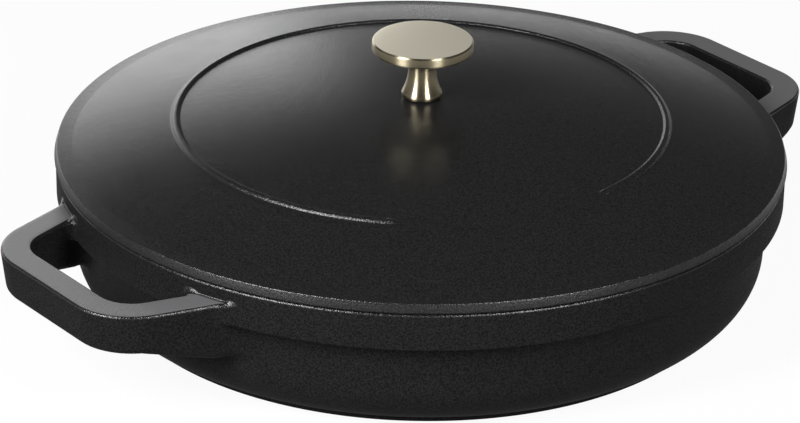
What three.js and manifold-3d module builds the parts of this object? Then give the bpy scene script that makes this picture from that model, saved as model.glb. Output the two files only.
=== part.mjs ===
// Low, wide cast-iron cocotte with two loop handles and a domed lid, in millimetres, +Z up.
// The origin is on the table under the middle of the foot, and the handles lie along X.
import * as THREE from 'three';
import { mergeVertices } from 'three/addons/utils/BufferGeometryUtils.js';
import Module from 'manifold-3d';

const wasm = await Module();
wasm.setup();

// Pot
const potHeight = 55.1;           // table to the top of the rim
const bowlRadius = 139;           // outside of the bowl, just under the collar
const bowlTaper = 0.8;            // the bowl's side narrows by this much on its way down
const bowlCornerRound = 18.5;     // outside round between the side and the bottom
const wallThickness = 4.8;
const floorThickness = 5.5;       // table to the inside floor
const footInset = 14;             // from the bowl's side to the foot's edge
const footHeight = 1.6;
const footEdgeRound = 0.5;
const collarStep = 6;             // the collar stands out from the bowl by this much
const collarHeight = 14.9;
const collarEdgeRound = 1;        // on the collar's lower edge
const stepFillet = 3.6;           // hollow fillet under the collar
const rimWidth = 5.8;
const rimRound = 1;
const innerStepHeight = 9;        // height over which the inside narrows from collar to bowl

// Handles
const handleReach = 35.3;         // from the collar to the handle's outer face
const handleHalfLength = 36.1;    // middle line of the bar, from its centre to the corner
const handleArmAngle = 16.4;      // the arms spread this many degrees on their way to the pot
const handleWidth = 12.2;         // at the top face
const handleThickness = 16.8;     // of the bar
const handleRootThickness = 24;   // of an arm where it meets the collar
const handleDrop = 5.7;           // from the rim down to the handle's top face
const handleDraft = 6.5;          // slope of the side faces, in degrees
const handleCornerRound = 20;     // of the middle line
const handleTopRound = 1.2;
const handleBottomRound = 2.4;
const handleFillet = 6;           // inside the loop, where an arm runs into the collar

// Lid
const lidSeatGap = 0.3;           // between the rim and the lid
const lidOverhang = 0.7;          // the lid stands out past the collar
const lidEdgeHeight = 4;
const lidEdgeRound = 1.4;         // on the upper edge
const lidUnderRound = 0.6;        // on the lower edge
const lidBandWidth = 7;           // flatter band round the dome
const lidBandSlope = 5;           // in degrees
const lidDomeRise = 17.8;
const lidThickness = 4.2;
const locatorDepth = 4.6;         // locating ring, below the lid's seat
const locatorThickness = 3.4;
const locatorClearance = 0.9;     // between the ring and the inside of the rim
const beadRadius = 99.3;
const beadWidth = 3.8;
const beadHeight = 1.2;
const beadEndShare = 0.3;         // the bead's ends are this share of its full section
const beadGapAngle = 50.3;        // the bead ring is open at the front, in degrees
const beadGapDirection = -109.3;  // of the middle of that gap, from +X
const bumpRings = 3;
const bumpFirstRing = 30;         // radius of the innermost ring of basting bumps
const bumpRingSpacing = 30;
const bumpsPerRing = 6;           // in the first ring, and as many more in each ring after it
const bumpRadius = 2.8;           // they are half-round
const bossRadius = 8;             // flat seat for the washer under the lid
const bossHeight = 0.8;

// Knob and its fasteners
const knobHeight = 24.8;
const knobRadius = 20;
const knobDiscThickness = 4.5;
const knobTopRound = 0.8;
const knobLowerRound = 1.2;
const knobCrown = 0.4;            // the top face is slightly domed
const knobUnderRise = 0.9;        // the disc's underside climbs this much toward its edge
const knobNeckRadius = 5.35;
const knobNeckHeight = 12.3;      // where the neck is thinnest
const knobFlareRound = 26;        // hollow curve from the neck down to the foot
const knobUpperRound = 7;         // hollow curve from the neck up to the disc
const knobFootRound = 1.2;
const screwDiameter = 5;
const screwEngagement = 10.4;     // length of thread inside the knob
const threadGap = 0.3;            // between screw and knob
const boreSpare = 2;              // the knob's hole runs on past the screw's tip
const screwHoleGap = 0.5;         // between screw and lid
const fastenerGap = 0.2;          // between pieces that are clamped together
const flatWasherRadius = 6;
const flatWasherThickness = 1;
const lockWasherRadius = 4.4;
const lockWasherThickness = 1.2;
const lockWasherSlit = 0.8;
const lockWasherSlant = 30;       // of the slit, in degrees
const washerGap = 0.3;            // between screw and washers
const screwHeadRadius = 4.7;
const screwHeadHeight = 2.8;
const screwHeadRound = 1.2;
const screwTipChamfer = 0.6;
const slotWidth = 1.2;
const slotDepth = 1.3;

// Fineness of the round shapes
const largeSegments = 64;
const knobSegments = 32;
const smallSegments = 24;
const bumpSegments = 6;
const roundSteps = 2;
const cornerSteps = 5;
const domeSteps = 6;
const handleStations = 48;
const beadStations = 48;
const beadSteps = 4;

// Sizes that follow from these
const footRadius = bowlRadius - footInset;
const collarRadius = bowlRadius + collarStep;
const collarBottom = potHeight - collarHeight;
const rimInside = collarRadius - rimWidth;
const handleTop = potHeight - handleDrop;
const lidRadius = collarRadius + lidOverhang;
const lidSeat = potHeight + lidSeatGap;
const domeRadius = lidRadius - lidBandWidth;
const domeFoot = lidSeat + lidEdgeHeight + lidBandWidth * Math.tan(THREE.MathUtils.degToRad(lidBandSlope));
const domeTop = domeFoot + lidDomeRise;
const domeSphere = (domeRadius ** 2 + lidDomeRise ** 2) / (2 * lidDomeRise);
const screwRadius = screwDiameter / 2;
const bossBottom = domeTop - lidThickness - bossHeight;
const flatWasherTop = bossBottom - fastenerGap;
const lockWasherTop = flatWasherTop - flatWasherThickness - fastenerGap;
const screwHeadTop = lockWasherTop - lockWasherThickness - fastenerGap;
const knobBase = domeTop + fastenerGap;

const enamel = () => new THREE.MeshStandardMaterial({ color: 0x18181a, roughness: 0.5, metalness: 0 });
const brass = () => new THREE.MeshStandardMaterial({ color: 0xc8bd9f, roughness: 0.3, metalness: 1 });
const steel = () => new THREE.MeshStandardMaterial({ color: 0xb4b6b8, roughness: 0.35, metalness: 1 });

// Points [radius, height] on an arc, from one angle to another, in degrees from the outward direction.
function arc(centreRadius, centreHeight, round, from, to, steps) {
  return Array.from({ length: steps + 1 }, (_, i) => {
    const angle = THREE.MathUtils.degToRad(from + (to - from) * i / steps);
    return [centreRadius + round * Math.cos(angle), centreHeight + round * Math.sin(angle)];
  });
}

// A surface of revolution about Z, from a profile that keeps its material on the left.
function turned(profile, segments) {
  const points = profile.map(([radius, height]) => new THREE.Vector2(radius, height));
  return new THREE.LatheGeometry(points, segments).rotateX(Math.PI / 2);
}

// A closed skin over rings of points that follow one another, with a flat cap on each end.
function loft(rings) {
  const size = rings[0].length;
  const positions = rings.flat().flatMap((point) => [point.x, point.y, point.z]);
  const triangles = [];
  for (let ring = 0; ring < rings.length - 1; ring += 1) {
    for (let i = 0; i < size; i += 1) {
      const a = ring * size + i;
      const b = ring * size + (i + 1) % size;
      triangles.push(a, b + size, b, a, a + size, b + size);
    }
  }
  const last = (rings.length - 1) * size;
  for (let i = 1; i < size - 1; i += 1) {
    triangles.push(0, i, i + 1, last, last + i + 1, last + i);
  }
  const geometry = new THREE.BufferGeometry();
  geometry.setAttribute('position', new THREE.Float32BufferAttribute(positions, 3));
  geometry.setIndex(triangles);
  return geometry;
}

// The closed solid of a geometry, for joining and cutting.
function solid(geometry) {
  const bare = geometry.clone();
  bare.deleteAttribute('normal');
  bare.deleteAttribute('uv');
  const merged = mergeVertices(bare);
  const corners = merged.index.array;
  const triVerts = [];
  for (let i = 0; i < corners.length; i += 3) {
    const [a, b, c] = corners.slice(i, i + 3);
    if (a !== b && b !== c && c !== a) triVerts.push(a, b, c);
  }
  return new wasm.Manifold(new wasm.Mesh({
    numProp: 3,
    vertProperties: new Float32Array(merged.attributes.position.array),
    triVerts: new Uint32Array(triVerts),
  }));
}

// A named mesh of a solid.
function piece(name, body, material) {
  const { vertProperties, triVerts } = body.getMesh();
  const geometry = new THREE.BufferGeometry();
  geometry.setAttribute('position', new THREE.BufferAttribute(vertProperties, 3));
  geometry.setIndex(new THREE.BufferAttribute(triVerts, 1));
  geometry.computeVertexNormals();
  const mesh = new THREE.Mesh(geometry, material);
  mesh.name = name;
  return mesh;
}

// Foot, bowl and collar, filled up to the rim.
function potOutside() {
  const sideFoot = bowlRadius - bowlTaper;
  const cornerCentre = sideFoot - bowlCornerRound;
  const cornerReach = Math.max(0, footRadius - cornerCentre) / bowlCornerRound;
  const cornerStart = THREE.MathUtils.radToDeg(Math.asin(cornerReach)) - 90;
  const rimEdge = potHeight - rimRound;
  return turned([
    [0, 0],
    ...arc(footRadius - footEdgeRound, footEdgeRound, footEdgeRound, -90, 0, roundSteps),
    ...arc(cornerCentre, footHeight + bowlCornerRound, bowlCornerRound, cornerStart, 0, cornerSteps),
    ...arc(bowlRadius + stepFillet, collarBottom - stepFillet, stepFillet, 180, 90, roundSteps),
    ...arc(collarRadius - collarEdgeRound, collarBottom + collarEdgeRound, collarEdgeRound,
      -90, 0, roundSteps),
    ...arc(collarRadius - rimRound, rimEdge, rimRound, 0, 90, roundSteps),
    [0, potHeight],
  ], largeSegments);
}

// The hollow of the pot, which runs out above the rim and breaks the rim's inner edge.
function potInside() {
  const inside = bowlRadius - wallThickness;
  const insideFoot = inside - bowlTaper;
  const cornerRound = bowlCornerRound - wallThickness;
  const stepTop = collarBottom + innerStepHeight / 2;
  const stepBottom = collarBottom - innerStepHeight / 2;
  return turned([
    [0, floorThickness],
    ...arc(insideFoot - cornerRound, floorThickness + cornerRound, cornerRound, -90, 0, cornerSteps),
    [inside, stepBottom],
    [rimInside, stepTop],
    [rimInside, potHeight - rimRound],
    [rimInside + 2 * rimRound, potHeight + rimRound],
    [0, potHeight + rimRound],
  ], largeSegments);
}

// A plan path through the points, with each corner between two stretches rounded.
function roundedPath(points, round) {
  const path = new THREE.Path();
  path.moveTo(points[0].x, points[0].y);
  for (let i = 1; i < points.length - 1; i += 1) {
    const back = points[i - 1].clone().sub(points[i]).normalize();
    const ahead = points[i + 1].clone().sub(points[i]).normalize();
    const half = Math.acos(back.dot(ahead)) / 2;
    const inward = back.clone().add(ahead).normalize();
    const centre = points[i].clone().addScaledVector(inward, round / Math.sin(half));
    const start = points[i].clone().addScaledVector(back, round / Math.tan(half));
    const end = points[i].clone().addScaledVector(ahead, round / Math.tan(half));
    path.lineTo(start.x, start.y);
    const from = start.clone().sub(centre).angle();
    const to = end.clone().sub(centre).angle();
    path.absarc(centre.x, centre.y, round, from, to, back.cross(ahead) > 0);
  }
  const last = points[points.length - 1];
  path.lineTo(last.x, last.y);
  return path;
}

// The handle's cross-section as [across, up] points: flat top, drafted sides, rounder below.
function handleSection() {
  const lean = handleThickness * Math.tan(THREE.MathUtils.degToRad(handleDraft));
  const top = handleWidth / 2 - handleTopRound;
  const bottom = handleWidth / 2 - lean - handleBottomRound;
  const low = handleTop - handleThickness + handleBottomRound;
  const half = [
    ...arc(bottom, low, handleBottomRound, -90, -handleDraft, roundSteps),
    ...arc(top, handleTop - handleTopRound, handleTopRound, -handleDraft, 90, roundSteps),
  ];
  const mirrored = half.map(([across, up]) => [-across, up]).reverse();
  return [...half, ...mirrored];
}

// One loop handle on the +X side: two arms and a bar, with the arms buried in the pot.
function handle() {
  const barLine = collarRadius + handleReach - handleWidth / 2;
  const spread = Math.tan(THREE.MathUtils.degToRad(handleArmAngle));
  const root = handleReach + handleFillet + handleWidth + rimWidth;
  const path = roundedPath([
    new THREE.Vector2(barLine - root, -handleHalfLength - root * spread),
    new THREE.Vector2(barLine, -handleHalfLength),
    new THREE.Vector2(barLine, handleHalfLength),
    new THREE.Vector2(barLine - root, handleHalfLength + root * spread),
  ], handleCornerRound);
  const section = handleSection();
  const rings = Array.from({ length: handleStations + 1 }, (_, i) => {
    const centre = path.getPointAt(i / handleStations);
    const along = path.getTangentAt(i / handleStations);
    const away = THREE.MathUtils.clamp(centre.length() - collarRadius, 0, handleFillet);
    const flare = handleFillet - Math.sqrt(handleFillet ** 2 - (handleFillet - away) ** 2);
    const travel = (centre.length() - collarRadius) / (handleReach - handleWidth);
    const outward = THREE.MathUtils.clamp(travel, 0, 1);
    const depth = THREE.MathUtils.lerp(handleRootThickness, handleThickness, outward) / handleThickness;
    return section.map(([across, up]) => {
      const wide = across < 0 ? across * (1 + flare / (handleWidth / 2)) : across;
      const height = handleTop + (up - handleTop) * depth;
      return new THREE.Vector3(centre.x + along.y * wide, centre.y - along.x * wide, height);
    });
  });
  return solid(loft(rings));
}

function pot() {
  const right = handle();
  const left = right.rotate([0, 0, 180]);
  const body = solid(potOutside()).add(right).add(left).subtract(solid(potInside()));
  return piece('pot', body, enamel());
}

// Height of the lid's domed top at a distance from its axis.
function domeHeight(radius) {
  return domeTop - domeSphere + Math.sqrt(domeSphere ** 2 - radius ** 2);
}

// The lid's plate with its rim, locating ring, washer seat and screw hole.
function lidPlate() {
  const hole = screwRadius + screwHoleGap;
  const ringOutside = rimInside - locatorClearance;
  const ringInside = ringOutside - locatorThickness;
  const ringBottom = lidSeat - locatorDepth;
  const bandEdge = lidSeat + lidEdgeHeight - lidEdgeRound;
  const domeRadii = Array.from({ length: domeSteps }, (_, i) => domeRadius * (domeSteps - i) / domeSteps);
  const underRadii = domeRadii.map((radius) => radius * ringInside / domeRadius).reverse();
  return turned([
    [hole, bossBottom],
    [bossRadius, bossBottom],
    [bossRadius, domeHeight(bossRadius) - lidThickness],
    ...underRadii.map((radius) => [radius, domeHeight(radius) - lidThickness]),
    ...arc(ringInside + locatorThickness / 2, ringBottom + locatorThickness / 2, locatorThickness / 2,
      -180, 0, roundSteps),
    [ringOutside, lidSeat],
    ...arc(lidRadius - lidUnderRound, lidSeat + lidUnderRound, lidUnderRound, -90, 0, roundSteps),
    ...arc(lidRadius - lidEdgeRound, bandEdge, lidEdgeRound, 0, 90 - lidBandSlope, roundSteps),
    ...domeRadii.map((radius) => [radius, domeHeight(radius)]),
    [hole, domeHeight(hole)],
    [hole, bossBottom],
  ], largeSegments);
}

// The raised half-round bead on the lid, open at the front and round at both ends.
function bead() {
  const half = beadWidth / 2;
  const sweep = 360 - beadGapAngle;
  const first = beadGapDirection + beadGapAngle / 2;
  const height = domeHeight(beadRadius);
  const endAngle = THREE.MathUtils.radToDeg(half / beadRadius);
  const section = [...arc(0, 0, 1, 0, 180, beadSteps), [-1, -1], [1, -1]];
  const rings = Array.from({ length: beadStations + 1 }, (_, i) => {
    const travel = sweep * i / beadStations;
    const fromEnd = Math.min(travel, sweep - travel, endAngle) / endAngle;
    const taper = Math.max(beadEndShare, Math.sqrt(1 - (1 - fromEnd) ** 2));
    const angle = THREE.MathUtils.degToRad(first + travel);
    return section.map(([across, up]) => {
      const radius = beadRadius + across * half * taper;
      const level = height + up * beadHeight * taper;
      return new THREE.Vector3(radius * Math.cos(angle), radius * Math.sin(angle), level);
    });
  });
  return solid(loft(rings));
}

// Basting bumps under the lid, in rings that grow outward.
function bumps() {
  const sunk = lidThickness / 2;
  const shape = [...arc(0, 0, bumpRadius, -90, 0, roundSteps), [bumpRadius, sunk], [0, sunk]];
  const bodies = [];
  for (let ring = 0; ring < bumpRings; ring += 1) {
    const radius = bumpFirstRing + ring * bumpRingSpacing;
    const count = bumpsPerRing * (ring + 1);
    for (let i = 0; i < count; i += 1) {
      const angle = 2 * Math.PI * i / count;
      const bump = turned(shape, bumpSegments);
      bump.translate(radius * Math.cos(angle), radius * Math.sin(angle), domeHeight(radius) - lidThickness);
      bodies.push(solid(bump));
    }
  }
  return bodies;
}

function lid() {
  const body = bumps().reduce((whole, bump) => whole.add(bump), solid(lidPlate()).add(bead()));
  return piece('lid', body, enamel());
}

function knob() {
  const bore = screwRadius + threadGap;
  const boreDepth = screwEngagement + boreSpare;
  const flareCentre = knobNeckRadius + knobFlareRound;
  const flareAngle = THREE.MathUtils.radToDeg(Math.asin((knobNeckHeight - knobFootRound) / knobFlareRound));
  const footRadiusOfKnob = flareCentre - knobFlareRound * Math.cos(THREE.MathUtils.degToRad(flareAngle));
  const discBottom = knobHeight - knobDiscThickness;
  const upperCentre = discBottom - knobUnderRise - knobUpperRound;
  const shoulder = knobHeight - knobCrown - knobTopRound;
  const geometry = turned([
    [0, boreDepth],
    [bore, boreDepth],
    [bore, 0],
    ...arc(footRadiusOfKnob - knobFootRound, knobFootRound, knobFootRound, -90, 0, roundSteps),
    ...arc(flareCentre, knobNeckHeight, knobFlareRound, 180 + flareAngle, 180, cornerSteps).slice(1),
    ...arc(knobNeckRadius + knobUpperRound, upperCentre, knobUpperRound, 180, 90, cornerSteps),
    ...arc(knobRadius - knobLowerRound, discBottom + knobLowerRound, knobLowerRound, -90, 0, roundSteps),
    ...arc(knobRadius - knobTopRound, shoulder, knobTopRound, 0, 90, roundSteps),
    [knobRadius / 2, knobHeight - knobCrown / 4],
    [0, knobHeight],
  ], knobSegments);
  return piece('knob', solid(geometry.translate(0, 0, knobBase)), brass());
}

function washer(name, outside, top, thickness, cut) {
  const inside = screwRadius + washerGap;
  const ring = solid(turned([
    [inside, top - thickness],
    [outside, top - thickness],
    [outside, top],
    [inside, top],
    [inside, top - thickness],
  ], smallSegments));
  return piece(name, cut ? ring.subtract(cut) : ring, steel());
}

function lockWasher() {
  const slit = new THREE.BoxGeometry(lockWasherRadius * 2, lockWasherSlit, lockWasherThickness * 4);
  slit.translate(lockWasherRadius, 0, 0);
  slit.rotateX(THREE.MathUtils.degToRad(lockWasherSlant));
  slit.translate(0, 0, lockWasherTop - lockWasherThickness / 2);
  return washer('lock_washer', lockWasherRadius, lockWasherTop, lockWasherThickness, solid(slit));
}

function knobScrew() {
  const tip = knobBase + screwEngagement;
  const bottom = screwHeadTop - screwHeadHeight;
  const body = solid(turned([
    [0, bottom],
    ...arc(screwHeadRadius - screwHeadRound, bottom + screwHeadRound, screwHeadRound, -90, 0, roundSteps),
    [screwHeadRadius, screwHeadTop],
    [screwRadius, screwHeadTop],
    [screwRadius, tip - screwTipChamfer],
    [screwRadius - screwTipChamfer, tip],
    [0, tip],
  ], smallSegments));
  const slot = new THREE.BoxGeometry(screwHeadRadius * 3, slotWidth, slotDepth * 2);
  slot.translate(0, 0, bottom);
  return piece('knob_screw', body.subtract(solid(slot)), steel());
}

const cocotte = new THREE.Group();
cocotte.add(pot(), lid(), knob(), knobScrew(), lockWasher());
cocotte.add(washer('flat_washer', flatWasherRadius, flatWasherTop, flatWasherThickness));

export default cocotte;
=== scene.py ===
import math

import bpy
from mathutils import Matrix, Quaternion, Vector


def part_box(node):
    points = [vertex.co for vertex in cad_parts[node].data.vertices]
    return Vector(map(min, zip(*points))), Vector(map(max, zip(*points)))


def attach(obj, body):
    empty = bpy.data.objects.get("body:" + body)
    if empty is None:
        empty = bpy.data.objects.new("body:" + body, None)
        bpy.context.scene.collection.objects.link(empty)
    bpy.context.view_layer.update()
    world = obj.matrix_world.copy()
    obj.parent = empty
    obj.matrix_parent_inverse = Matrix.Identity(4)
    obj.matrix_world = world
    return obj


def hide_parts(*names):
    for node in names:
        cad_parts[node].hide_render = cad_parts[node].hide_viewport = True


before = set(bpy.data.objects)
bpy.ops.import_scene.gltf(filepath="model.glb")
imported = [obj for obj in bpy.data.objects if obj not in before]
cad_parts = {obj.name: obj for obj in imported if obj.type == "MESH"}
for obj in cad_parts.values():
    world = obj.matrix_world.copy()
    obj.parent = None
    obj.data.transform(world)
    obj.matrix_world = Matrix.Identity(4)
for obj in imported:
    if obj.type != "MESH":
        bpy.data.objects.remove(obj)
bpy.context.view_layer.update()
mm = 0.001
mergeGap = 0.002 * mm  # points closer than this are one point
print("frame loaded:", ", ".join(sorted(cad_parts)))


# Small helpers for selecting, turning and joining

def clearSelection():
    if bpy.context.mode != "OBJECT":
        bpy.ops.object.mode_set(mode="OBJECT")
    bpy.ops.object.select_all(action="DESELECT")


def pickOnly(piece):
    clearSelection()
    piece.select_set(True)
    bpy.context.view_layer.objects.active = piece


def rounded(corners, closed=False, stepAngle=8):
    # corners are (across, up, round) in millimetres; the result is points in metres along the rounded line
    points = []
    count = len(corners)
    for index, (across, up, size) in enumerate(corners):
        corner = Vector((across, up))
        inner = closed or 0 < index < count - 1
        if not size or not inner:
            points.append(corner)
            continue
        before = (Vector(corners[index - 1][:2]) - corner).normalized()
        after = (Vector(corners[(index + 1) % count][:2]) - corner).normalized()
        half = before.angle(after) / 2
        middle = corner + (before + after).normalized() * (size / math.sin(half))
        start = corner + before * (size / math.tan(half)) - middle
        turn = math.pi - 2 * half
        if before.cross(after) > 0:
            turn = -turn
        steps = max(2, round(abs(math.degrees(turn)) / stepAngle))
        for step in range(steps + 1):
            angle = turn * step / steps
            cosine, sine = math.cos(angle), math.sin(angle)
            swung = Vector((start.x * cosine - start.y * sine, start.x * sine + start.y * cosine))
            points.append(middle + swung)
    return [point * mm for point in points]


def divided(points, longest, closed=False):
    # adds points so that no stretch is longer than this
    result = []
    pairs = list(zip(points, points[1:] + points[:1])) if closed else list(zip(points, points[1:]))
    for start, end in pairs:
        parts = max(1, math.ceil((end - start).length / longest))
        result += [start.lerp(end, part / parts) for part in range(parts)]
    return result if closed else result + [points[-1]]


def drawLine(name, points):
    # a line of edges in the XZ plane, drawn by extruding one point; stays in edit mode
    clearSelection()
    bpy.ops.mesh.primitive_plane_add(size=mm, location=(points[0].x, 0, points[0].y))
    piece = bpy.context.object
    piece.name = piece.data.name = name
    bpy.ops.object.transform_apply(location=True, rotation=True, scale=True)
    bpy.ops.object.mode_set(mode="EDIT")
    bpy.ops.mesh.select_mode(type="VERT")
    bpy.ops.mesh.select_all(action="SELECT")
    bpy.ops.mesh.merge(type="CENTER")
    for start, end in zip(points, points[1:]):
        move = end - start
        bpy.ops.mesh.extrude_region_move(TRANSFORM_OT_translate={"value": (move.x, 0, move.y)})
    return piece


def tidyMesh():
    # closes seams and poles, turns every face outwards, and leaves edit mode
    bpy.ops.mesh.select_all(action="SELECT")
    bpy.ops.mesh.remove_doubles(threshold=mergeGap)
    bpy.ops.mesh.normals_make_consistent(inside=False)
    bpy.ops.object.mode_set(mode="OBJECT")


def capOpenEnds():
    # fills the open ends of the piece that is picked
    bpy.ops.object.mode_set(mode="EDIT")
    bpy.ops.mesh.select_mode(type="EDGE")
    bpy.ops.mesh.select_all(action="DESELECT")
    bpy.ops.mesh.select_non_manifold()
    bpy.ops.mesh.fill_holes(sides=0)
    tidyMesh()


def turnOnLathe(name, points, steps):
    piece = drawLine(name, points)
    bpy.ops.mesh.select_all(action="SELECT")
    bpy.ops.mesh.spin(steps=steps, angle=math.tau, center=(0, 0, 0), axis=(0, 0, 1))
    tidyMesh()
    return piece


def combine(piece, tool, operation):
    # joins or cuts with a closed tool, which is then deleted
    pickOnly(piece)
    change = piece.modifiers.new("combine", "BOOLEAN")
    change.object = tool
    change.operation = operation
    change.solver = "MANIFOLD"
    bpy.ops.object.modifier_apply(modifier=change.name)
    pickOnly(tool)
    bpy.ops.object.delete()


def smoothShade(piece, angle):
    pickOnly(piece)
    bpy.ops.object.shade_smooth_by_angle(angle=math.radians(angle))


# Pot: foot, bowl, collar and rim, turned from one outline

potSizes = dict(
    height=55.1, bowl=139.0, taper=0.8, corner=18.5, foot=125.0, footHeight=1.6, footRound=0.5,
    collar=145.0, collarBottom=40.2, collarRound=0.7, stepFillet=2.4, rimRound=1.2,
    wall=4.8, floor=5.5, rimInside=139.2, innerStep=9.0, innerRound=4.0,
    cornerParts=16, grid=9.0, steps=320, smoothAngle=32)

s = potSizes
cornerMiddle = s["bowl"] - s["taper"] - s["corner"]
cornerAngle = math.asin((s["foot"] - cornerMiddle) / s["corner"])
footMeet = s["footHeight"] + s["corner"] * (1 - math.cos(cornerAngle))  # the bowl's round meets the foot here
potOutline = rounded([
    (0, 0, 0),
    (s["foot"], 0, s["footRound"]),
    (s["foot"], footMeet, 0)])
for part in range(1, s["cornerParts"] + 1):
    angle = cornerAngle + (math.pi / 2 - cornerAngle) * part / s["cornerParts"]
    potOutline.append(Vector((
        cornerMiddle + s["corner"] * math.sin(angle),
        s["footHeight"] + s["corner"] - s["corner"] * math.cos(angle))) * mm)
potOutline += rounded([
    (s["bowl"] - s["taper"], s["footHeight"] + s["corner"], 0),
    (s["bowl"], s["collarBottom"], s["stepFillet"]),
    (s["collar"], s["collarBottom"], s["collarRound"]),
    (s["collar"], s["height"], s["rimRound"]),
    (s["rimInside"], s["height"], s["rimRound"]),
    (s["rimInside"], s["collarBottom"] + s["innerStep"] / 2, s["innerRound"]),
    (s["bowl"] - s["wall"], s["collarBottom"] - s["innerStep"] / 2, s["innerRound"]),
    (s["bowl"] - s["wall"] - s["taper"], s["floor"], s["corner"] - s["wall"]),
    (0, s["floor"], 0)])[1:]
pot = turnOnLathe("castPot", divided(potOutline, s["grid"] * mm), s["steps"])
print("pot turned:", len(pot.data.polygons), "faces")


# Handles: one half loop is extruded and spun, fitted to the wall, mirrored and copied

handleSizes = dict(
    reach=180.28, halfLength=36.1, armAngle=16.4, width=12.2, depth=16.8, rootDepth=24.0, top=49.4,
    draft=6.5, cornerRound=20.0, topRound=1.2, bottomRound=2.6,
    insideFillet=7.0, outsideFillet=5.0, topFillet=0.7, bottomFillet=4.0,
    rootRadius=136.4, rootStep=3.9, rootStepStart=38.0, rootStepHeight=6.0,
    grid=1.5, sectionAngle=16, barRings=6, cornerRings=26, armRings=30, rootRings=2,
    ringStep=1.0, crowding=3, fitRounds=3)


def wallOutside(height):
    # outside radius of the pot's wall at a height, in millimetres
    p = potSizes
    if height >= p["collarBottom"]:
        return p["collar"]
    taper = p["taper"] / (p["collarBottom"] - p["footHeight"] - p["corner"])
    rise = max(0, height - (p["collarBottom"] - p["stepFillet"]))
    fillet = p["stepFillet"] - math.sqrt(p["stepFillet"] ** 2 - rise ** 2)
    return p["bowl"] - taper * (p["collarBottom"] - height) + fillet


def wallMiddle(height):
    # a radius well inside the wall, where the arms end; it steps out behind the collar
    h = handleSizes
    share = min(1, max(0, (height - h["rootStepStart"]) / h["rootStepHeight"]))
    return h["rootRadius"] + share * h["rootStep"]


def loopHandle():
    h = handleSizes
    lean = h["depth"] * math.tan(math.radians(h["draft"]))
    outer, inner = h["reach"], h["reach"] - h["width"]
    bottom = h["top"] - h["depth"]
    section = rounded([
        (inner, h["top"], h["topRound"]),
        (outer, h["top"], h["topRound"]),
        (outer - lean, bottom, h["bottomRound"]),
        (inner + lean, bottom, h["bottomRound"])], closed=True, stepAngle=h["sectionAngle"])
    section = divided(section, h["grid"] * mm, closed=True)
    piece = drawLine("loopHandle", section + section[:1])
    bpy.ops.mesh.select_all(action="SELECT")
    bpy.ops.mesh.remove_doubles(threshold=mergeGap)

    # the bar's straight half, the corner, and an arm of even rings
    arm = math.radians(h["armAngle"])
    turn = math.pi / 2 - arm
    straight = h["halfLength"] - h["cornerRound"] * math.tan(turn / 2)
    for ring in range(h["barRings"]):
        bpy.ops.mesh.extrude_region_move(
            TRANSFORM_OT_translate={"value": (0, straight / h["barRings"] * mm, 0)})
    middleLine = (outer + inner) / 2
    centre = Vector((middleLine - h["cornerRound"], straight))
    bpy.ops.mesh.spin(
        steps=h["cornerRings"], angle=turn, center=(centre.x * mm, centre.y * mm, 0), axis=(0, 0, -1))
    forward = Vector((-math.cos(arm), math.sin(arm)))
    sideways = Vector((math.sin(arm), math.cos(arm)))
    armStart = centre + sideways * h["cornerRound"]
    ringStep = h["ringStep"]
    for ring in range(h["armRings"] + h["rootRings"]):
        bpy.ops.mesh.extrude_region_move(
            TRANSFORM_OT_translate={"value": (forward.x * ringStep * mm, forward.y * ringStep * mm, 0)})
    tidyMesh()

    # fit each point: deeper towards the pot, the arms' rings crowded at the wall, and a fillet that
    # swells the section as the wall nears and leaves it along the wall
    collar = potSizes["collar"]

    def deepened(drop, middle):
        share = min(1, max(0, (middle.length - collar) / (inner - collar)))
        return h["top"] - drop * (1 + (1 - share) * (h["rootDepth"] / h["depth"] - 1))

    vertices = piece.data.vertices
    normals = [vertex.normal.copy() for vertex in vertices]
    for vertex, normal in zip(vertices, normals):
        place = Vector(vertex.co.xy) / mm
        drop = h["top"] - vertex.co.z / mm
        along = (place - armStart).dot(forward)
        across = (place - armStart).dot(sideways)
        if along < ringStep / 2:
            middle = Vector((middleLine, place.y))
            if place.y > straight:
                middle = centre + (place - centre).normalized() * h["cornerRound"]
            vertex.co.z = deepened(drop, middle) * mm
            continue
        ring = round(along / ringStep)
        side = Vector(normal.xy).dot(sideways)
        fillet = side ** 2 * (h["outsideFillet"] if side > 0 else h["insideFillet"])
        fillet += normal.z ** 2 * (h["topFillet"] if normal.z > 0 else h["bottomFillet"])
        height = h["top"] - drop * h["rootDepth"] / h["depth"]
        for attempt in range(h["fitRounds"]):
            wall = wallOutside(height)
            if ring <= h["armRings"]:
                left = 1 - ring / h["armRings"]
                gap = ((armStart + sideways * across).length - wall) * left ** h["crowding"]
            else:
                gap = (wallMiddle(height) - wall) * (ring - h["armRings"]) / h["rootRings"]
            near = min(fillet, max(0, fillet - gap))
            spread = fillet - math.sqrt(fillet ** 2 - near ** 2)
            base = armStart + sideways * (across + side * spread)
            slope = base.dot(forward)
            travel = -slope - math.sqrt(slope ** 2 - base.length_squared + (wall + gap) ** 2)
            height = deepened(drop, armStart + forward * travel) + normal.z * spread
        place = base + forward * travel
        vertex.co = Vector((place.x, place.y, height)) * mm

    # the other half, and a cap on each root
    pickOnly(piece)
    mirror = piece.modifiers.new("otherHalf", "MIRROR")
    mirror.use_axis = (False, True, False)
    mirror.merge_threshold = mergeGap
    bpy.ops.object.modifier_apply(modifier=mirror.name)
    capOpenEnds()
    return piece


handle = loopHandle()
pickOnly(handle)
bpy.ops.object.duplicate()
farHandle = bpy.context.object
farHandle.rotation_euler.z = math.pi
bpy.ops.object.transform_apply(location=True, rotation=True, scale=True)
combine(pot, handle, "UNION")
combine(pot, farHandle, "UNION")
smoothShade(pot, potSizes["smoothAngle"])
print("handles joined:", len(pot.data.polygons), "faces")


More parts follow.
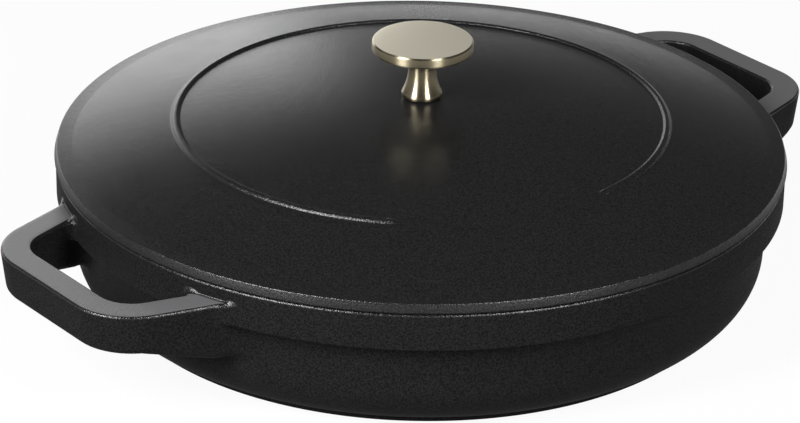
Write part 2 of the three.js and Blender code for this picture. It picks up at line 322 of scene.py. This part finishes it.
# Lid: plate with rim, locating ring and washer seat, turned; then the bead and the basting bumps

lidSizes = dict(
    radius=145.68, seat=55.4, edgeHeight=4.0, edgeInset=1.15, edgeRound=0.6, underRound=0.6,
    bandWidth=7.0, bandSlope=5.0, rise=17.8, thickness=4.2,
    ringOutside=138.3, ringThickness=3.4, ringDepth=4.6, ringRootRound=3.0, ringRound=1.5, ringSeatRound=0.5,
    bossRadius=8.0, bossHeight=0.8, bossSpread=0.4, bossRound=0.3, hole=3.0, steps=480, smoothAngle=32)
# the bead's fillet is given in half widths from its middle, and in heights
beadSizes = dict(
    radius=97.6, width=3.0, height=1.2, filletStart=0.97, filletEnd=1.45, filletRise=0.24,
    gap=50.3, gapMiddle=-109.3, endLength=2.2)
# nose and skirt are shares of the bump's radius
bumpSizes = dict(
    rings=3, firstRing=30.0, spacing=30.0, perRing=6, radius=2.8, nose=0.62, noseRound=0.55, sideRound=0.6,
    skirt=1.25, skirtHeight=0.5, skirtRound=0.5, sunk=1.5, stepAngle=15, steps=24)

s = lidSizes
b = beadSizes
domeRadius = s["radius"] - s["bandWidth"]
domeFoot = s["seat"] + s["edgeHeight"] + s["bandWidth"] * math.tan(math.radians(s["bandSlope"]))
domeTop = domeFoot + s["rise"]
sphere = (domeRadius ** 2 + s["rise"] ** 2) / (2 * s["rise"])


def domeHeight(radius):
    return domeTop - sphere + math.sqrt(sphere ** 2 - radius ** 2)


ringInside = s["ringOutside"] - s["ringThickness"]
ringBottom = s["seat"] - s["ringDepth"]
bossBottom = domeTop - s["thickness"] - s["bossHeight"]
underRows = range(16, 130, 6)  # radii of the rings of points under the dome
underside = [(radius, domeHeight(radius) - s["thickness"]) for radius in underRows]
lidOutline = rounded([
    (s["hole"], bossBottom, 0),
    (s["bossRadius"], bossBottom, s["bossRound"]),
    (s["bossRadius"] + s["bossSpread"], domeHeight(s["bossRadius"]) - s["thickness"], s["bossRound"]),
    underside[0] + (0,)])
lidOutline += [Vector(point) * mm for point in underside[1:]]
lidOutline += rounded([
    underside[-1] + (0,),
    (ringInside, domeHeight(ringInside) - s["thickness"], s["ringRootRound"]),
    (ringInside, ringBottom, s["ringRound"]),
    (s["ringOutside"], ringBottom, s["ringRound"]),
    (s["ringOutside"], s["seat"], s["ringSeatRound"]),
    (s["radius"], s["seat"], s["underRound"]),
    (s["radius"] - s["edgeInset"], s["seat"] + s["edgeHeight"], s["edgeRound"]),
    (domeRadius, domeFoot, 0)])[1:]

# radii of the rings of points over the top, close together at the band and at the bead
topRows = [domeRadius - 0.5 * step for step in range(1, 5)]
topRows += [132 - 5.5 * step for step in range(5)] + [107, 104.5]
halfBead = b["width"] / 2
beadRows = [1.7, 1.45, 1.25, 1.12, 1.04, 0.97, 0.89, 0.78, 0.64, 0.46, 0.24]  # in half widths
beadRows += [0] + [-row for row in reversed(beadRows)]
topRows += [b["radius"] + halfBead * row for row in beadRows]
topRows += [94, 91] + [86 - 6 * step for step in range(14)] + [s["hole"]]
lidOutline += [Vector((radius, domeHeight(radius))) * mm for radius in topRows]
lidOutline.append(lidOutline[0])
lid = turnOnLathe("castLid", lidOutline, s["steps"])
print("lid turned:", len(lid.data.polygons), "faces")


def beadRise(offset):
    # share of the bead's height at an offset in half widths: half-round, with a small fillet at its foot
    reach = abs(offset)
    if reach >= b["filletEnd"]:
        return 0
    if reach >= b["filletStart"]:
        return b["filletRise"] * ((b["filletEnd"] - reach) / (b["filletEnd"] - b["filletStart"])) ** 2
    return math.sqrt(1 - reach ** 2)


for vertex in lid.data.vertices:
    radius = vertex.co.xy.length / mm
    offset = (radius - b["radius"]) / halfBead
    underTop = domeHeight(radius) - vertex.co.z / mm
    if abs(offset) > b["filletEnd"] or underTop > s["thickness"] / 2:
        continue
    turnFromGap = (math.degrees(math.atan2(vertex.co.y, vertex.co.x)) - b["gapMiddle"] + 180) % 360 - 180
    fromEnd = math.radians(abs(turnFromGap) - b["gap"] / 2) * b["radius"]
    share = min(1, max(0, fromEnd / b["endLength"]))  # the bead's ends are rounded down to the dome
    vertex.co.z += b["height"] * mm * beadRise(offset) * math.sqrt(1 - (1 - share) ** 2)
print("bead raised")

# basting bumps under the lid: one half-round bump, copied
c = bumpSizes
skirt = c["radius"] * c["skirt"]
bump = turnOnLathe("bastingBump", rounded([
    (0, -c["radius"], 0),
    (c["radius"] * c["nose"], -c["radius"], c["radius"] * c["noseRound"]),
    (c["radius"], 0, c["sideRound"]),
    (skirt, c["skirtHeight"], c["skirtRound"]),
    (skirt, c["sunk"], 0),
    (0, c["sunk"], 0)], stepAngle=c["stepAngle"]), c["steps"])
bumps = []
for ring in range(c["rings"]):
    radius = c["firstRing"] + ring * c["spacing"]
    count = c["perRing"] * (ring + 1)
    for number in range(count):
        angle = math.tau * number / count
        pickOnly(bump)
        bpy.ops.object.duplicate()
        bumps.append(bpy.context.object)
        bpy.ops.transform.translate(value=(
            radius * math.cos(angle) * mm, radius * math.sin(angle) * mm,
            (domeHeight(radius) - s["thickness"]) * mm))
pickOnly(bump)
bpy.ops.object.delete()
for copy in bumps:
    copy.select_set(True)
bpy.context.view_layer.objects.active = bumps[0]
bpy.ops.object.join()
allBumps = bpy.context.object
bpy.ops.object.transform_apply(location=True, rotation=True, scale=True)
combine(lid, allBumps, "UNION")
smoothShade(lid, s["smoothAngle"])
print("lid done:", len(lid.data.polygons), "faces")


# Knob: turned, with a blind hole for the screw

knobSizes = dict(
    base=78.02, height=24.77, radius=20.0, disc=5.1, crown=0.75, crownEdge=3.0, crownEdgeRise=0.28,
    bevel=0.6, bevelRound=0.25, lowerRound=1.1,
    underRise=0.9, underEdge=4.0, underEdgeRise=0.35, underRound=8.0,
    neck=5.5, neckHeight=12.3, flare=22.0, upperRound=7.0, footHeight=2.4, footRound=1.6,
    bore=2.8, boreDepth=12.4, borePoint=1.2, boreChamfer=0.4, satinDepth=2.0, satinTilt=0.9,
    flareParts=14, crownParts=8, stepAngle=6, steps=160, smoothAngle=35)

s = knobSizes
flareCentre = s["neck"] + s["flare"]
flareStart = math.asin((s["neckHeight"] - s["footHeight"]) / s["flare"])
flareEnd = flareCentre - s["flare"] * math.cos(flareStart)
footCorner = flareEnd + s["footHeight"] * math.tan(flareStart)  # the flare would meet the lid here
outline = rounded([
    (0, s["boreDepth"] + s["borePoint"], 0),
    (s["bore"], s["boreDepth"], 0),
    (s["bore"], s["boreChamfer"], 0),
    (s["bore"] + s["boreChamfer"], 0, 0),
    (footCorner, 0, s["footRound"]),
    (flareEnd, s["footHeight"], 0)], stepAngle=s["stepAngle"])
for part in range(1, s["flareParts"] + 1):
    angle = flareStart * (1 - part / s["flareParts"])
    outline.append(Vector((
        flareCentre - s["flare"] * math.cos(angle),
        s["neckHeight"] - s["flare"] * math.sin(angle))) * mm)
discBottom = s["height"] - s["disc"]
crownFall = s["height"] - s["crown"]
crownRadius = s["radius"] - s["crownEdge"]
outline += rounded([
    (s["neck"], s["neckHeight"], 0),
    (s["neck"], discBottom - s["underRise"], s["upperRound"]),
    (s["radius"] - s["underEdge"], discBottom - s["underRise"] * s["underEdgeRise"], s["underRound"]),
    (s["radius"], discBottom, s["lowerRound"]),
    (s["radius"], crownFall - s["bevel"], s["bevelRound"]),
    (s["radius"] - s["bevel"], crownFall, s["bevelRound"]),
    (crownRadius, crownFall + s["crown"] * s["crownEdgeRise"], 0)], stepAngle=s["stepAngle"])[1:]
for part in range(1, s["crownParts"] + 1):
    radius = crownRadius * (1 - part / s["crownParts"])
    outline.append(Vector((radius, s["height"] - s["crown"] * (radius / s["radius"]) ** 2)) * mm)
knob = turnOnLathe("turnedKnob", [point + Vector((0, s["base"] * mm)) for point in outline], s["steps"])
smoothShade(knob, s["smoothAngle"])
print("knob turned:", len(knob.data.polygons), "faces")


# Screw and washers under the lid; their heights are those of the CAD pieces

# threadHeights are the start and end of the thread's crest, and its foot, above its first point
screwSizes = dict(
    radius=2.5, core=2.08, tipChamfer=0.5, headRadius=4.7, headHeight=2.8, headRound=1.6,
    headEdge=0.25, neckRound=0.2, shankEnd=73.0, shankChamfer=0.5, shankRound=0.15,
    slotWidth=1.2, slotDepth=1.3, pitch=0.8, threadStart=0.6, threadRoom=1.2, threadSunk=0.25,
    threadHeights=(0.30, 0.40, 0.70), steps=48, smoothAngle=30)
washerSizes = dict(
    inside=2.8, flatRadius=6.0, flatHeight=1.0, lockRadius=4.4, lockHeight=1.2,
    slit=0.8, slant=30.0, edge=0.2, edgeAngle=30, steps=72, smoothAngle=35)

s = screwSizes
screwLow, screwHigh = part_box("knob_screw")
headBottom = screwLow.z / mm
screwTip = screwHigh.z / mm
headTop = headBottom + s["headHeight"]
screw = turnOnLathe("slottedScrew", rounded([
    (0, headBottom, 0),
    (s["headRadius"], headBottom, s["headRound"]),
    (s["headRadius"], headTop, s["headEdge"]),
    (s["radius"], headTop, s["neckRound"]),
    (s["radius"], s["shankEnd"], s["shankRound"]),
    (s["core"], s["shankEnd"] + s["shankChamfer"], s["shankRound"]),
    (s["core"], screwTip - s["tipChamfer"], 0),
    (s["core"] - s["tipChamfer"], screwTip, 0),
    (0, screwTip, 0)]), s["steps"])

# the thread: a small V carried up the shank by a screw modifier
threadTurns = int((screwTip - s["tipChamfer"] - s["shankEnd"] - s["threadRoom"]) / s["pitch"])
threadBase = s["shankEnd"] + s["threadStart"]
threadRoot = s["core"] - s["threadSunk"]
crestStart, crestEnd, threadFoot = s["threadHeights"]
thread = drawLine("screwThread", [Vector(point) * mm for point in (
    (threadRoot, threadBase),
    (s["radius"], threadBase + crestStart),
    (s["radius"], threadBase + crestEnd),
    (threadRoot, threadBase + threadFoot),
    (threadRoot, threadBase))])
bpy.ops.mesh.select_all(action="SELECT")
bpy.ops.mesh.remove_doubles(threshold=mergeGap)
pickOnly(thread)
wind = thread.modifiers.new("wind", "SCREW")
wind.axis = "Z"
wind.screw_offset = s["pitch"] * mm
wind.iterations = threadTurns
wind.steps = wind.render_steps = s["steps"] // 2
bpy.ops.object.modifier_apply(modifier=wind.name)
capOpenEnds()
combine(screw, thread, "UNION")

# the driver slot, cut right across the head
clearSelection()
bpy.ops.mesh.primitive_cube_add(size=mm, location=(0, 0, headBottom * mm))
slot = bpy.context.object
slot.scale = (s["headRadius"] * 3, s["slotWidth"], s["slotDepth"] * 2)
bpy.ops.object.transform_apply(location=True, rotation=True, scale=True)
combine(screw, slot, "DIFFERENCE")
smoothShade(screw, s["smoothAngle"])

w = washerSizes


def washer(name, outside, top, height):
    outline = rounded([
        (w["inside"], top - height, w["edge"]),
        (outside, top - height, w["edge"]),
        (outside, top, w["edge"]),
        (w["inside"], top, w["edge"])], closed=True, stepAngle=w["edgeAngle"])
    return turnOnLathe(name, outline + outline[:1], w["steps"])


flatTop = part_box("flat_washer")[1].z / mm
flatWasher = washer("flatWasher", w["flatRadius"], flatTop, w["flatHeight"])
smoothShade(flatWasher, w["smoothAngle"])
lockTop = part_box("lock_washer")[1].z / mm
lockWasher = washer("splitWasher", w["lockRadius"], lockTop, w["lockHeight"])

# the slanted slit through one side of the lock washer
clearSelection()
bpy.ops.mesh.primitive_cube_add(size=mm, location=(0, 0, 0))
slit = bpy.context.object
slit.scale = (w["lockRadius"] * 2, w["slit"], w["lockHeight"] * 4)
bpy.ops.object.transform_apply(scale=True)
slit.rotation_euler.x = math.radians(w["slant"])
slit.location = (w["lockRadius"] * mm, 0, (lockTop - w["lockHeight"] / 2) * mm)
bpy.ops.object.transform_apply(location=True, rotation=True, scale=True)
combine(lockWasher, slit, "DIFFERENCE")
smoothShade(lockWasher, w["smoothAngle"])
print("screw and washers done")


# Materials

def tone(code):
    # sRGB hex to linear
    values = [int(code[place:place + 2], 16) / 255 for place in (1, 3, 5)]
    linear = [v / 12.92 if v <= 0.04045 else ((v + 0.055) / 1.055) ** 2.4 for v in values]
    return (*linear, 1)


def addNode(tree, kind, sockets=None, **settings):
    node = tree.nodes.new(kind)
    for name, value in settings.items():
        setattr(node, name, value)
    for name, value in (sockets or {}).items():
        if isinstance(value, bpy.types.NodeSocket):
            tree.links.new(value, node.inputs[name])
        else:
            node.inputs[name].default_value = value
    return node


def startMaterial(name):
    material = bpy.data.materials.new(name)
    material.use_nodes = True
    material.node_tree.nodes.clear()
    return material, material.node_tree


def endMaterial(tree, shader):
    addNode(tree, "ShaderNodeOutputMaterial", {"Surface": shader.outputs[0]})


# Matt black enamel sprayed on cast iron: a dark skin whose fine sandy grain breaks up the light and glints
# along the edges. The real grain is about 0.3 mm; it is drawn at 0.7 mm so that it shows. Faces that lie
# level got a closed, satin skin with less relief; the walls stayed coarse and dry, and the flat handle tops
# are half smooth. The handle tops are also coloured paler (top): a painted sheen that stands in for the light
# they catch. A tilt is how far a face looks up: 1 is level and 0 upright.
enamelSetup = dict(
    dark="#0b0b0c", light="#191919", top="#4f4f50",
    grain=0.7, speckleLow=0.38, speckleHigh=0.62, clouds=22.0, cloudLow=0.3, cloudHigh=0.7, cloudChange=0.02,
    relief=0.24, edgeRelief=1.0, edgeReliefTilt=0.8, levelRelief=0.42, levelReliefTilt=0.96,
    wallRough=0.7, wallSpecular=0.03, levelRough=0.2, levelSpecular=0.36, topRough=0.35, topSpecular=0.8,
    wallTilt=0.1, levelTilt=0.45, topTilt=0.97, topTiltFade=0.05, topRadius=145.3, topRadiusFade=1.0, ior=1.5)
e = enamelSetup
enamel, tree = startMaterial("mattEnamelCastIron")
spot = addNode(tree, "ShaderNodeTexCoord").outputs
grain = addNode(tree, "ShaderNodeTexNoise", {
    "Vector": spot["Object"], "Scale": 1 / (e["grain"] * mm), "Detail": 2.0, "Roughness": 0.6})
clouds = addNode(tree, "ShaderNodeTexNoise", {
    "Vector": spot["Object"], "Scale": 1 / (e["clouds"] * mm), "Detail": 3.0})

# colour: speckled, and paler on what lies level outside the pot's wall: painted sheen on the handle tops;
# 6 and 7 are a Mix node's two colours
speckle = addNode(tree, "ShaderNodeMapRange", {
    "Value": grain.outputs["Fac"], "From Min": e["speckleLow"], "From Max": e["speckleHigh"]})
colour = addNode(tree, "ShaderNodeMix", {
    "Factor": speckle.outputs["Result"], 6: tone(e["dark"]), 7: tone(e["light"])}, data_type="RGBA")
tilt = addNode(tree, "ShaderNodeSeparateXYZ", {"Vector": spot["Normal"]}).outputs["Z"]
axes = addNode(tree, "ShaderNodeSeparateXYZ", {"Vector": spot["Object"]}).outputs
flat = addNode(tree, "ShaderNodeCombineXYZ", {"X": axes["X"], "Y": axes["Y"]})
reach = addNode(tree, "ShaderNodeVectorMath", {0: flat.outputs[0]}, operation="LENGTH")
outside = addNode(tree, "ShaderNodeMapRange", {
    "Value": reach.outputs["Value"],
    "From Min": e["topRadius"] * mm, "From Max": (e["topRadius"] + e["topRadiusFade"]) * mm})
high = addNode(tree, "ShaderNodeMapRange", {
    "Value": tilt, "From Min": e["topTilt"] - e["topTiltFade"], "From Max": e["topTilt"]})
handleTopGlossAndPaintedSheen = addNode(tree, "ShaderNodeMath", {
    0: outside.outputs["Result"], 1: high.outputs["Result"]}, operation="MULTIPLY")
# painted sheen: the handle tops take the paler top colour; the same mask also sets their real gloss below
colour = addNode(tree, "ShaderNodeMix", {
    "Factor": handleTopGlossAndPaintedSheen.outputs[0], 6: colour.outputs[2], 7: tone(e["top"])}, data_type="RGBA")

# gloss: from wall to level face to handle top, a little uneven
level = addNode(tree, "ShaderNodeMapRange", {
    "Value": tilt, "From Min": e["wallTilt"], "From Max": e["levelTilt"]}, interpolation_type="SMOOTHSTEP")
sheen = {}
for kind in ("Rough", "Specular"):
    blend = addNode(tree, "ShaderNodeMix", {
        "Factor": level.outputs["Result"], "A": e["wall" + kind], "B": e["level" + kind]})
    sheen[kind] = addNode(tree, "ShaderNodeMix", {
        "Factor": handleTopGlossAndPaintedSheen.outputs[0], "A": blend.outputs["Result"], "B": e["top" + kind]}).outputs["Result"]
uneven = addNode(tree, "ShaderNodeMapRange", {
    "Value": clouds.outputs["Fac"], "From Min": e["cloudLow"], "From Max": e["cloudHigh"],
    "To Min": -e["cloudChange"], "To Max": e["cloudChange"]})
gloss = addNode(tree, "ShaderNodeMath", {0: sheen["Rough"], 1: uneven.outputs["Result"]})

# relief: the grain, stronger on edges and walls than on level faces
strength = addNode(tree, "ShaderNodeMapRange", {
    "Value": tilt, "From Min": e["edgeReliefTilt"], "From Max": e["levelReliefTilt"],
    "To Min": e["edgeRelief"], "To Max": e["levelRelief"]})
relief = addNode(tree, "ShaderNodeBump", {
    "Height": grain.outputs["Fac"], "Strength": strength.outputs["Result"], "Distance": e["relief"] * mm})
endMaterial(tree, addNode(tree, "ShaderNodeBsdfPrincipled", {
    "Base Color": colour.outputs[2], "Roughness": gloss.outputs[0], "IOR": e["ior"],
    "Specular IOR Level": sheen["Specular"], "Normal": relief.outputs["Normal"]}))

# Satin brass, pale champagne: the top face is evenly blasted and shows soft reflections. It scatters some
# light as well as mirroring it, so it is a little less than fully metallic.
satinSetup = dict(base="#f2ebd6", metallic=0.82, grit=0.5, roughLow=0.36, roughHigh=0.4)
m = satinSetup
satin, tree = startMaterial("satinBrass")
where = addNode(tree, "ShaderNodeTexCoord").outputs["Object"]
mist = addNode(tree, "ShaderNodeTexNoise", {"Vector": where, "Scale": 1 / (m["grit"] * mm), "Detail": 2.0})
gloss = addNode(tree, "ShaderNodeMapRange", {
    "Value": mist.outputs["Fac"], "To Min": m["roughLow"], "To Max": m["roughHigh"]})
endMaterial(tree, addNode(tree, "ShaderNodeBsdfPrincipled", {
    "Base Color": tone(m["base"]), "Metallic": m["metallic"], "Roughness": gloss.outputs["Result"]}))

# Turned brass: the stem and the disc's edge carry fine rings from the lathe, which draw each light out
# up and down. The rings are the noise drawn out sideways, by the along share of its scale. This brass is
# coloured much darker than the knob's top face: painted shade for the dark surroundings that the stem and
# the disc's edge reflect.
turnedShadedSetup = dict(
    base="#a2987f", rings=0.25, along=0.02, roughLow=0.27, roughHigh=0.32, stretch=0.93, stretchTurn=0.25)
m = turnedShadedSetup
turned, tree = startMaterial("turnedBrassPaintedShade")
where = addNode(tree, "ShaderNodeTexCoord").outputs["Object"]
drawnOut = addNode(tree, "ShaderNodeMapping", {"Vector": where, "Scale": (m["along"], m["along"], 1)})
rings = addNode(tree, "ShaderNodeTexNoise", {
    "Vector": drawnOut.outputs["Vector"], "Scale": 1 / (m["rings"] * mm), "Detail": 2.0})
gloss = addNode(tree, "ShaderNodeMapRange", {
    "Value": rings.outputs["Fac"], "To Min": m["roughLow"], "To Max": m["roughHigh"]})
around = addNode(tree, "ShaderNodeTangent", direction_type="RADIAL", axis="Z")
endMaterial(tree, addNode(tree, "ShaderNodeBsdfPrincipled", {
    "Base Color": tone(m["base"]), "Metallic": 1.0, "Roughness": gloss.outputs["Result"],
    "Anisotropic": m["stretch"], "Anisotropic Rotation": m["stretchTurn"],
    "Tangent": around.outputs["Tangent"]}))

# Plain stainless steel, as rolled and turned: grey, with faint cloudy changes of gloss
steelSetup = dict(base="#b9babb", marks=0.6, roughLow=0.25, roughHigh=0.4)
m = steelSetup
steel, tree = startMaterial("stainlessSteel")
where = addNode(tree, "ShaderNodeTexCoord").outputs["Object"]
marks = addNode(tree, "ShaderNodeTexNoise", {"Vector": where, "Scale": 1 / (m["marks"] * mm), "Detail": 3.0})
gloss = addNode(tree, "ShaderNodeMapRange", {
    "Value": marks.outputs["Fac"], "To Min": m["roughLow"], "To Max": m["roughHigh"]})
endMaterial(tree, addNode(tree, "ShaderNodeBsdfPrincipled", {
    "Base Color": tone(m["base"]), "Metallic": 1.0, "Roughness": gloss.outputs["Result"]}))

for piece, skin in (
        (pot, enamel), (lid, enamel), (knob, turned),
        (screw, steel), (flatWasher, steel), (lockWasher, steel)):
    piece.data.materials.clear()
    piece.data.materials.append(skin)
s = knobSizes
knob.data.materials.append(satin)
for face in knob.data.polygons:
    if face.normal.z > s["satinTilt"] and face.center.z > (s["base"] + s["height"] - s["satinDepth"]) * mm:
        face.material_index = 1
print("materials assigned")

for piece, node, body, slotName in (
        (pot, "pot", "pot", "enamel"),
        (lid, "lid", "lid", "enamel"),
        (knob, "knob", "knob", "knob_brass"),
        (screw, "knob_screw", "screw", "fastener_steel"),
        (flatWasher, "flat_washer", "lid", "fastener_steel"),
        (lockWasher, "lock_washer", "lid", "fastener_steel")):
    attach(piece, body)
    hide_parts(node)


# Floor, light and camera

cameraSetup = dict(
    place=(-0.81816, -0.99366, 0.64596), target=(-0.02216, -0.0148, 0.03915),
    roll=0.952, lens=159.774, sensor=36, farthest=50)
floorSetup = dict(size=40.0, colour="#bfbfbf", glow=0.93)
roomSetup = dict(bright=0.08)
# turn is in degrees round the object from the camera, to the right as it sees it; rise is above the table;
# bright is light for each part of the panel's area, so that a panel can be resized
lampSetup = (
    dict(name="leftSoftbox", turn=-47, rise=33, distance=1.3, width=0.38, height=0.7, bright=38.0),
    dict(name="rightSoftbox", turn=36, rise=33, distance=1.3, width=0.34, height=0.7, bright=26.0),
    dict(name="sideFill", turn=-86, rise=30, distance=2.0, width=1.6, height=0.7, bright=0.4),
    dict(name="backPanel", turn=-155, rise=11.3, distance=2.4, width=1.7, height=1.0, bright=1.85),
    dict(name="lowBackPanel", turn=178, rise=9, distance=2.6, width=3.0, height=0.8, bright=0.12))

# the floor is pale paper that takes shadows; to the eye and in reflections it is nearly white
clearSelection()
bpy.ops.mesh.primitive_plane_add(size=floorSetup["size"])
floor = bpy.context.object
floor.name = floor.data.name = "floor"
paper, tree = startMaterial("paleFloor")
path = addNode(tree, "ShaderNodeLightPath").outputs
seen = addNode(tree, "ShaderNodeMath", {
    0: path["Is Camera Ray"], 1: path["Is Glossy Ray"]}, operation="MAXIMUM")
seen = addNode(tree, "ShaderNodeMath", {
    0: seen.outputs[0], 1: path["Is Transmission Ray"]}, operation="MAXIMUM")
share = addNode(tree, "ShaderNodeMath", {0: seen.outputs[0], 1: floorSetup["glow"]}, operation="MULTIPLY")
endMaterial(tree, addNode(tree, "ShaderNodeMixShader", {
    0: share.outputs[0],
    1: addNode(tree, "ShaderNodeBsdfDiffuse", {"Color": tone(floorSetup["colour"])}).outputs[0],
    2: addNode(tree, "ShaderNodeEmission", {"Color": (1, 1, 1, 1), "Strength": 1.0}).outputs[0]}))
floor.data.materials.append(paper)

world = bpy.data.worlds.new("dimStudio")
bpy.context.scene.world = world
world.use_nodes = True
tree = world.node_tree
tree.nodes.clear()
addNode(tree, "ShaderNodeOutputWorld", {"Surface": addNode(tree, "ShaderNodeBackground", {
    "Color": (1, 1, 1, 1), "Strength": roomSetup["bright"]}).outputs[0]})

cameraPlace = Vector(cameraSetup["place"])
cameraTurn = math.atan2(cameraPlace.y, cameraPlace.x)
for lamp in lampSetup:
    light = bpy.data.lights.new(lamp["name"], "AREA")
    light.shape = "RECTANGLE"
    light.size = lamp["width"]
    light.size_y = lamp["height"]
    light.energy = lamp["bright"] * math.pi * lamp["width"] * lamp["height"]
    holder = bpy.data.objects.new(lamp["name"], light)
    bpy.context.scene.collection.objects.link(holder)
    turn = cameraTurn + math.radians(lamp["turn"])
    rise = math.radians(lamp["rise"])
    out = Vector((math.cos(turn) * math.cos(rise), math.sin(turn) * math.cos(rise), math.sin(rise)))
    holder.location = out * lamp["distance"]
    holder.rotation_euler = (-out).to_track_quat("-Z", "Y").to_euler()
    holder.visible_camera = False

camera = bpy.data.objects.new("camera", bpy.data.cameras.new("camera"))
bpy.context.scene.collection.objects.link(camera)
camera.data.lens = cameraSetup["lens"]
camera.data.sensor_fit = "HORIZONTAL"
camera.data.sensor_width = cameraSetup["sensor"]
camera.data.clip_end = cameraSetup["farthest"]
view = (Vector(cameraSetup["target"]) - cameraPlace).to_track_quat("-Z", "Y")
camera.location = cameraPlace
camera.rotation_euler = (view @ Quaternion((0, 0, 1), math.radians(cameraSetup["roll"]))).to_euler()
bpy.context.scene.camera = camera
bpy.context.scene.view_settings.view_transform = "Standard"
print("stage set")
